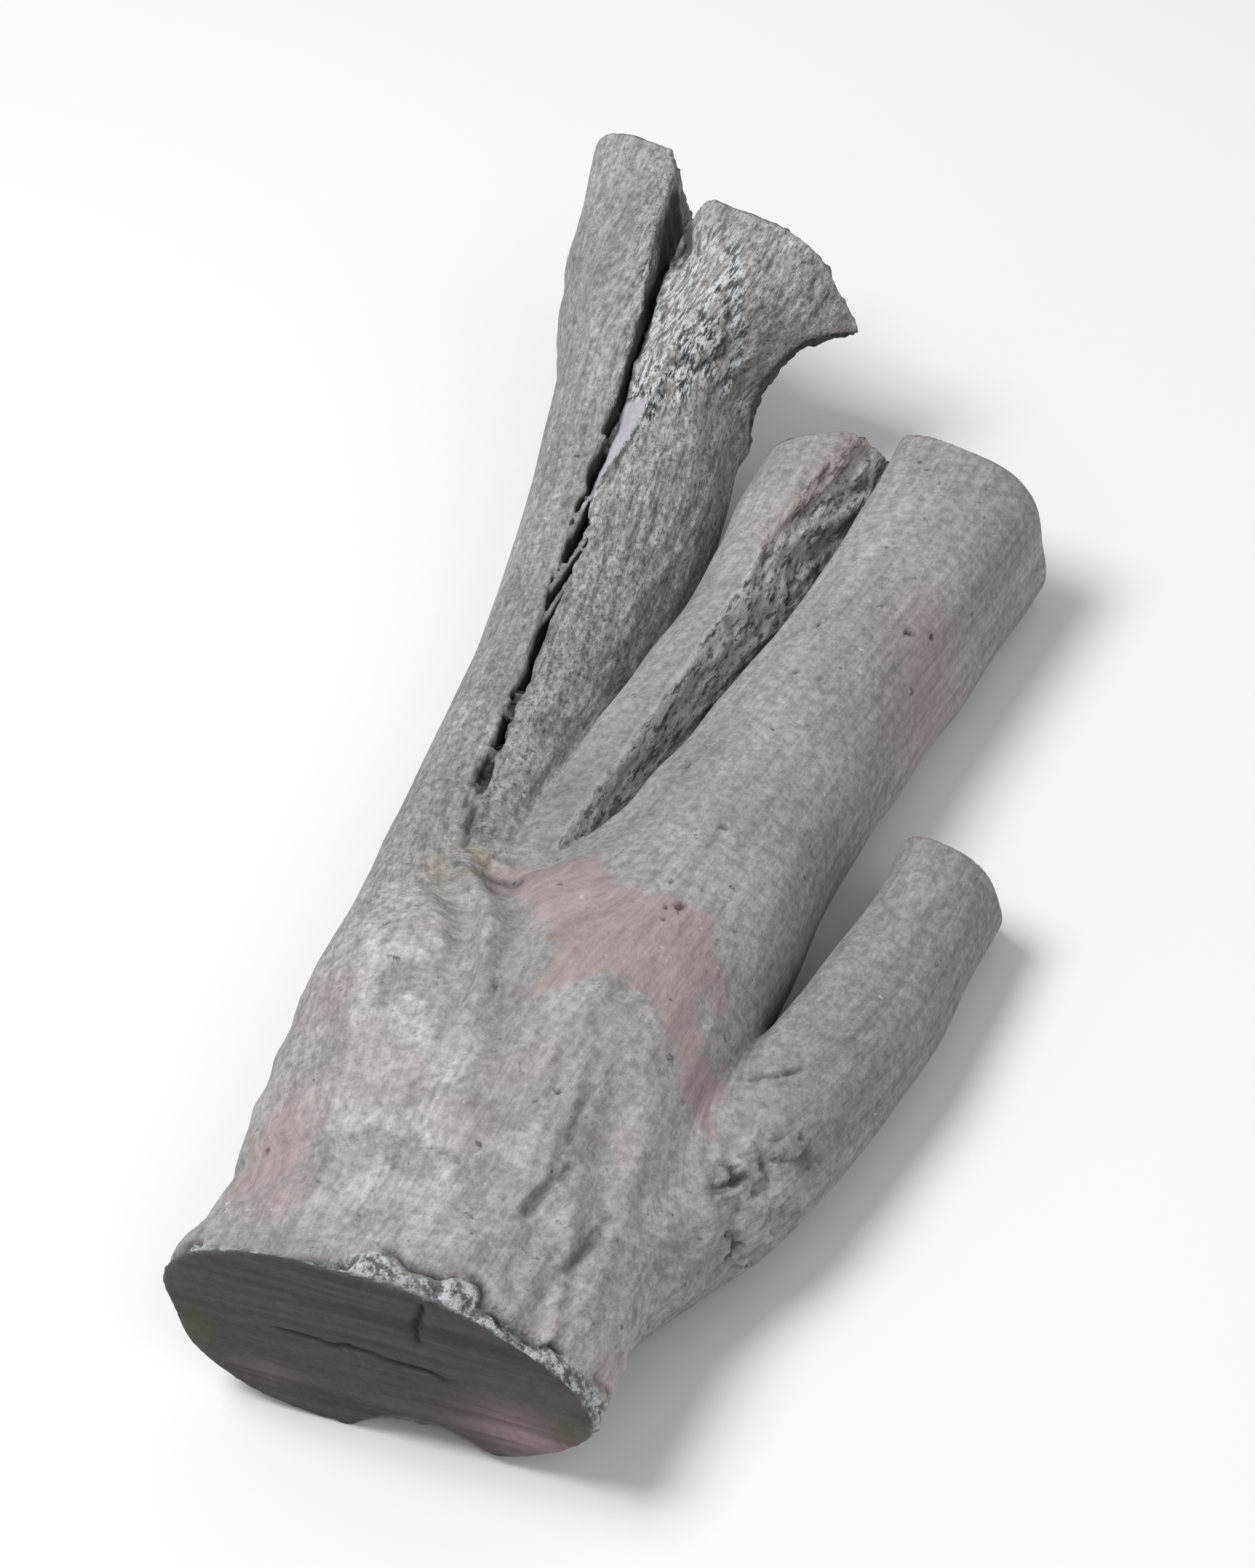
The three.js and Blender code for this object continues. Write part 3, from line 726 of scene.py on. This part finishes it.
def charcoal():
    n = Nodes("charred_wood")
    at = n.add("ShaderNodeTexCoord").outputs["Object"]
    fibre = n.add("ShaderNodeAttribute", attribute_name="grain").outputs["Vector"]

    def zone(name):
        attribute = n.add("ShaderNodeAttribute", attribute_name=name)
        parts = n.add("ShaderNodeSeparateColor", {"Color": attribute.outputs["Color"]})
        return [*parts.outputs[:3], attribute.outputs["Alpha"]]

    def part(value, amount):
        return n.math("MULTIPLY", value, amount)

    def plus(a, b):
        return n.math("ADD", a, b)

    def times(colour, factor):
        level = n.add("ShaderNodeCombineColor", {0: factor, 1: factor, 2: factor}).outputs[0]
        return n.mix(1.0, colour, level, "MULTIPLY")

    sawn, torn, tips, split = zone("zone_faces")
    pink, ash, silver, rim = zone("zone_patches")
    crevice_shade, dip_shade, tone_and_shade, rough_zone = zone("zone_shade")
    thick, left, yellow, trunk = zone("zone_grain")

    cloud = n.noise(at, 30.0, 3.0, 0.55)
    mottle = n.noise(at, 140.0, 5.0, 0.65)
    grit = n.noise(at, 650.0, 5.0, 0.75)
    streak = n.noise(fibre, 420.0, 5.0, 0.6, (1, 0.035, 1))
    hair = n.noise(fibre, 1700.0, 3.0, 0.6, (1, 0.05, 1))
    bark = n.noise(fibre, 520.0, 5.0, 0.7, (1, 0.12, 1))
    speck = n.noise(fibre, 1400.0, 5.0, 0.75, (1, 0.35, 1))

    # Outer surface: ash-grey, mottled, faintly streaked along the grain.
    colour = n.mix(n.spread(cloud, 0.35, 0.65), BARK_DARK, BARK_LIGHT)
    colour = n.mix(part(n.spread(mottle, 0.50, 0.72), 0.40), colour, BARK_STAIN)
    colour = n.mix(part(ash, 0.70), colour, PALE_ASH)
    colour = n.mix(part(pink, 0.85), colour, PINK_BLOOM)
    colour = n.mix(part(yellow, 0.75), colour, YELLOW_KNOT)
    fine = n.spread(streak, 0.32, 0.62, 0.84, 1.05)
    colour = times(colour, part(fine, n.spread(hair, 0.30, 0.60, 0.88, 1.04)))
    on_limb = plus(part(left, 0.25), part(thick, 0.40))
    colour = n.mix(part(n.spread(bark, 0.50, 0.34), on_limb), colour, GRAIN_GAP)
    plain = n.math("SUBTRACT", 1.0, part(pink, 0.55))
    grain_tone = part(n.spread(grit, 0.32, 0.68, -0.28, 0.22), plain)
    colour = times(colour, plus(1.0, grain_tone))
    contrast = plus(part(left, 0.50), part(thick, 0.30))
    contrast = plus(contrast, part(trunk, 0.05))
    speck_tone = part(n.spread(speck, 0.32, 0.66, -0.60, 0.52), contrast)
    colour = times(colour, plus(1.0, speck_tone))
    pepper = n.spread(n.noise(fibre, 2100.0, 3.0, 0.7, (1, 0.5, 1)), 0.43, 0.36)
    limb = plus(part(left, 0.30), part(thick, 0.45))
    colour = n.mix(part(pepper, limb), colour, PEPPER)
    # Tone, with painted shadow on the stub, painted light on the trunk's right flank and painted shade in
    # spots.
    colour = times(colour, tone_and_shade)
    # Painted shade in the hollows and the furrow.
    colour = n.mix(part(dip_shade, 0.32), colour, DIP_SHADE)
    pale_flecks = n.spread(n.noise(at, 520.0, 2.0, 0.5), 0.70, 0.78)
    colour = n.mix(part(pale_flecks, 0.6), colour, PALE_FLECK)
    dark_flecks = n.spread(n.noise(at, 380.0, 3.0, 0.6), 0.33, 0.27)
    colour = n.mix(part(dark_flecks, 0.7), colour, DARK_FLECK)

    # Small burnt pits, near black: partly their charred inside and partly painted shade in them.
    cells = n.add("ShaderNodeTexVoronoi", {"Vector": at, "Scale": 85.0, "Randomness": 1.0})
    some_places = n.spread(n.noise(at, 60.0, 1.0, 0.5), 0.54, 0.58)
    pit = part(n.spread(cells.outputs["Distance"], 0.085, 0.045), some_places)
    colour = n.mix(part(pit, 0.9), colour, PIT)

    # The smooth silver bevel beside the long crack, frayed towards the tip: its pale silver is partly the
    # broken face's own colour and partly a painted sheen.
    sheen = n.mix(n.spread(speck, 0.455, 0.555), FRAYED_DARK, FRAYED_PALE_SHEEN)
    smooth = n.math("SUBTRACT", silver, 1.0)
    lavender = n.mix(n.spread(mottle, 0.35, 0.65), LAVENDER_DARK, LAVENDER_PALE)
    sheen = n.mix(n.spread(smooth, 0.1, 0.6), sheen, lavender)
    colour = n.mix(n.spread(silver, 0.0, 1.0, 0.0, 0.9), colour, sheen)

    # Torn faces: grey fibres with dark gaps and pale broken ends.
    fibres = n.noise(fibre, 1000.0, 5.0, 0.75, (1, 0.35, 1))
    inner = n.mix(n.spread(fibres, 0.36, 0.52), TORN_DARK, TORN_PALE)
    inner = n.mix(part(n.spread(grit, 0.55, 0.64), 0.6), inner, TORN_END)
    dashes = n.noise(fibre, 900.0, 3.0, 0.6, (1, 0.20, 1))
    inner = n.mix(part(n.spread(dashes, 0.44, 0.37), 0.75), inner, TORN_GAP)
    inner = n.mix(part(pink, 0.6), inner, TORN_PINK)
    colour = n.mix(n.math("MAXIMUM", torn, part(rough_zone, 0.3)), colour, inner)
    # Walls of the split and the long crack: partly their own dark broken charcoal and partly painted shade
    # inside the narrow gaps.
    colour = n.mix(split, colour, SPLIT_WALL)

    # Broken ends: dark growth rings around each limb's own axis.
    axes_of = n.add("ShaderNodeSeparateXYZ", {"Vector": fibre}).outputs
    in_section = n.add("ShaderNodeCombineXYZ", {"X": axes_of["X"], "Z": axes_of["Z"]}).outputs[0]
    warped = n.add("ShaderNodeVectorMath", {0: in_section}, operation="LENGTH").outputs["Value"]
    warped = plus(warped, part(mottle, 0.0025))
    rings = n.add("ShaderNodeTexNoise", {"W": warped, "Scale": 900.0, "Detail": 3.0}, noise_dimensions="1D")
    broken = n.mix(n.spread(rings.outputs["Fac"], 0.36, 0.64), RING_DARK, RING_PALE)
    pale_bits = n.spread(n.noise(at, 800.0, 4.0, 0.75), 0.52, 0.66)
    broken = n.mix(part(pale_bits, 0.6), broken, BROKEN_PALE)
    broken = n.mix(part(n.spread(mottle, 0.42, 0.34), 0.8), broken, BROKEN_DARK)
    colour = n.mix(tips, colour, broken)

    # Sawn face: dark grey, with long saw streaks, faint pink and yellow-green.
    lines = n.noise(at, 70.0, 5.0, 0.65, (0.30, 0.30, 6.0))
    broad = n.noise(at, 42.0, 3.0, 0.55, (0.5, 0.5, 1.6))
    face = n.mix(n.spread(lines, 0.34, 0.66), SAWN_DARK, SAWN_PALE)
    face = n.mix(part(n.spread(broad, 0.42, 0.66), 0.55), face, SAWN_BAND)
    streaked = part(pink, n.spread(lines, 0.30, 0.60, 0.45, 1.0))
    face = n.mix(part(streaked, 0.9), face, SAWN_PINK)
    face = n.mix(part(yellow, 0.6), face, SAWN_YELLOW)
    face = times(face, n.spread(grit, 0.30, 0.70, 0.88, 1.12))
    colour = n.mix(sawn, colour, face)

    # Crumbled rim, and painted shade in every crack, crease, pit and crevice.
    flakes = n.noise(at, 620.0, 4.0, 0.7)
    crumb = n.mix(n.spread(flakes, 0.42, 0.58), CRUMB_DARK, CRUMB_PALE)
    colour = n.mix(part(rim, 0.85), colour, crumb)
    colour = n.mix(part(crevice_shade, 0.88), colour, CREVICE_SHADE)

    n.tree.links.new(colour, n.shader.inputs["Base Color"])
    rough = n.spread(streak, 0.3, 0.7, 0.93, 0.78)
    rough = n.math("SUBTRACT", rough, n.spread(silver, 0.0, 1.0, 0.0, 0.30))
    rough = n.math("SUBTRACT", rough, part(torn, 0.25))
    n.tree.links.new(rough, n.shader.inputs["Roughness"])
    n.shader.inputs["Specular IOR Level"].default_value = 0.35

    height = part(streak, 0.40)
    height = plus(height, part(hair, 0.16))
    height = plus(height, part(grit, 0.50))
    height = plus(height, part(part(bark, left), 0.9))
    height = plus(height, part(part(mottle, trunk), 0.7))
    height = plus(height, part(part(fibres, torn), 1.4))
    height = n.math("SUBTRACT", height, part(pit, 1.5))
    height = plus(height, part(part(flakes, rim), 2.0))
    bump = n.add("ShaderNodeBump", {"Strength": 0.7, "Distance": 0.0008, "Height": height})
    n.tree.links.new(bump.outputs[0], n.shader.inputs["Normal"])
    return n.material


mesh.materials.append(charcoal())

# Floor, lights and camera.
floor_mesh = bpy.data.meshes.new("floor")
HALF_FLOOR = 4.0
FLOOR_GAP = 0.0002  # keeps the floor clear of the worn underside
floor_mesh.from_pydata(
    [
        (-HALF_FLOOR, -HALF_FLOOR, 0), (HALF_FLOOR, -HALF_FLOOR, 0),
        (HALF_FLOOR, HALF_FLOOR, 0), (-HALF_FLOOR, HALF_FLOOR, 0),
    ],
    [], [(0, 1, 2, 3)],
)
floor = bpy.data.objects.new("floor", floor_mesh)
bpy.context.scene.collection.objects.link(floor)
floor.location.z = -FLOOR_GAP
paper = Nodes("floor_paper")
paper.shader.inputs["Base Color"].default_value = (0.80, 0.80, 0.80, 1)
paper.shader.inputs["Roughness"].default_value = 0.9
floor_mesh.materials.append(paper.material)


def area_light(name, location, size, watts, target=(0, 0, 0.02)):
    data = bpy.data.lights.new(name, "AREA")
    data.shape = "DISK"
    data.size = size
    data.energy = watts
    light = bpy.data.objects.new(name, data)
    bpy.context.scene.collection.objects.link(light)
    light.location = location
    light.rotation_euler = (Vector(target) - Vector(location)).to_track_quat("-Z", "Y").to_euler()


area_light("key", location=(-0.42, -0.08, 0.95), size=0.50, watts=8.7)
area_light("fill", location=(0.7, -0.6, 0.9), size=0.9, watts=3.0)

world = bpy.data.worlds.new("studio")
world.use_nodes = True
world.node_tree.nodes["Background"].inputs["Color"].default_value = (1, 1, 1, 1)
world.node_tree.nodes["Background"].inputs["Strength"].default_value = 0.43
bpy.context.scene.world = world
bpy.context.scene.view_settings.view_transform = "Standard"

EYE = Vector((130.2, -387.0, 425.6)) * MM
LOOK_AT = Vector((-9, -8, 22)) * MM
ROLL_DEG = -11.0
camera_data = bpy.data.cameras.new("camera")
camera_data.lens = 78
camera_data.sensor_width = 36
camera_data.clip_start = 0.01
camera = bpy.data.objects.new("camera", camera_data)
bpy.context.scene.collection.objects.link(camera)
aim = (LOOK_AT - EYE).to_track_quat("-Z", "Y").to_matrix()
turn = Matrix.Rotation(math.radians(ROLL_DEG), 3, "Z")
camera.matrix_world = Matrix.Translation(EYE) @ (aim @ turn).to_4x4()
bpy.context.scene.camera = camera

bpy.context.view_layer.update()
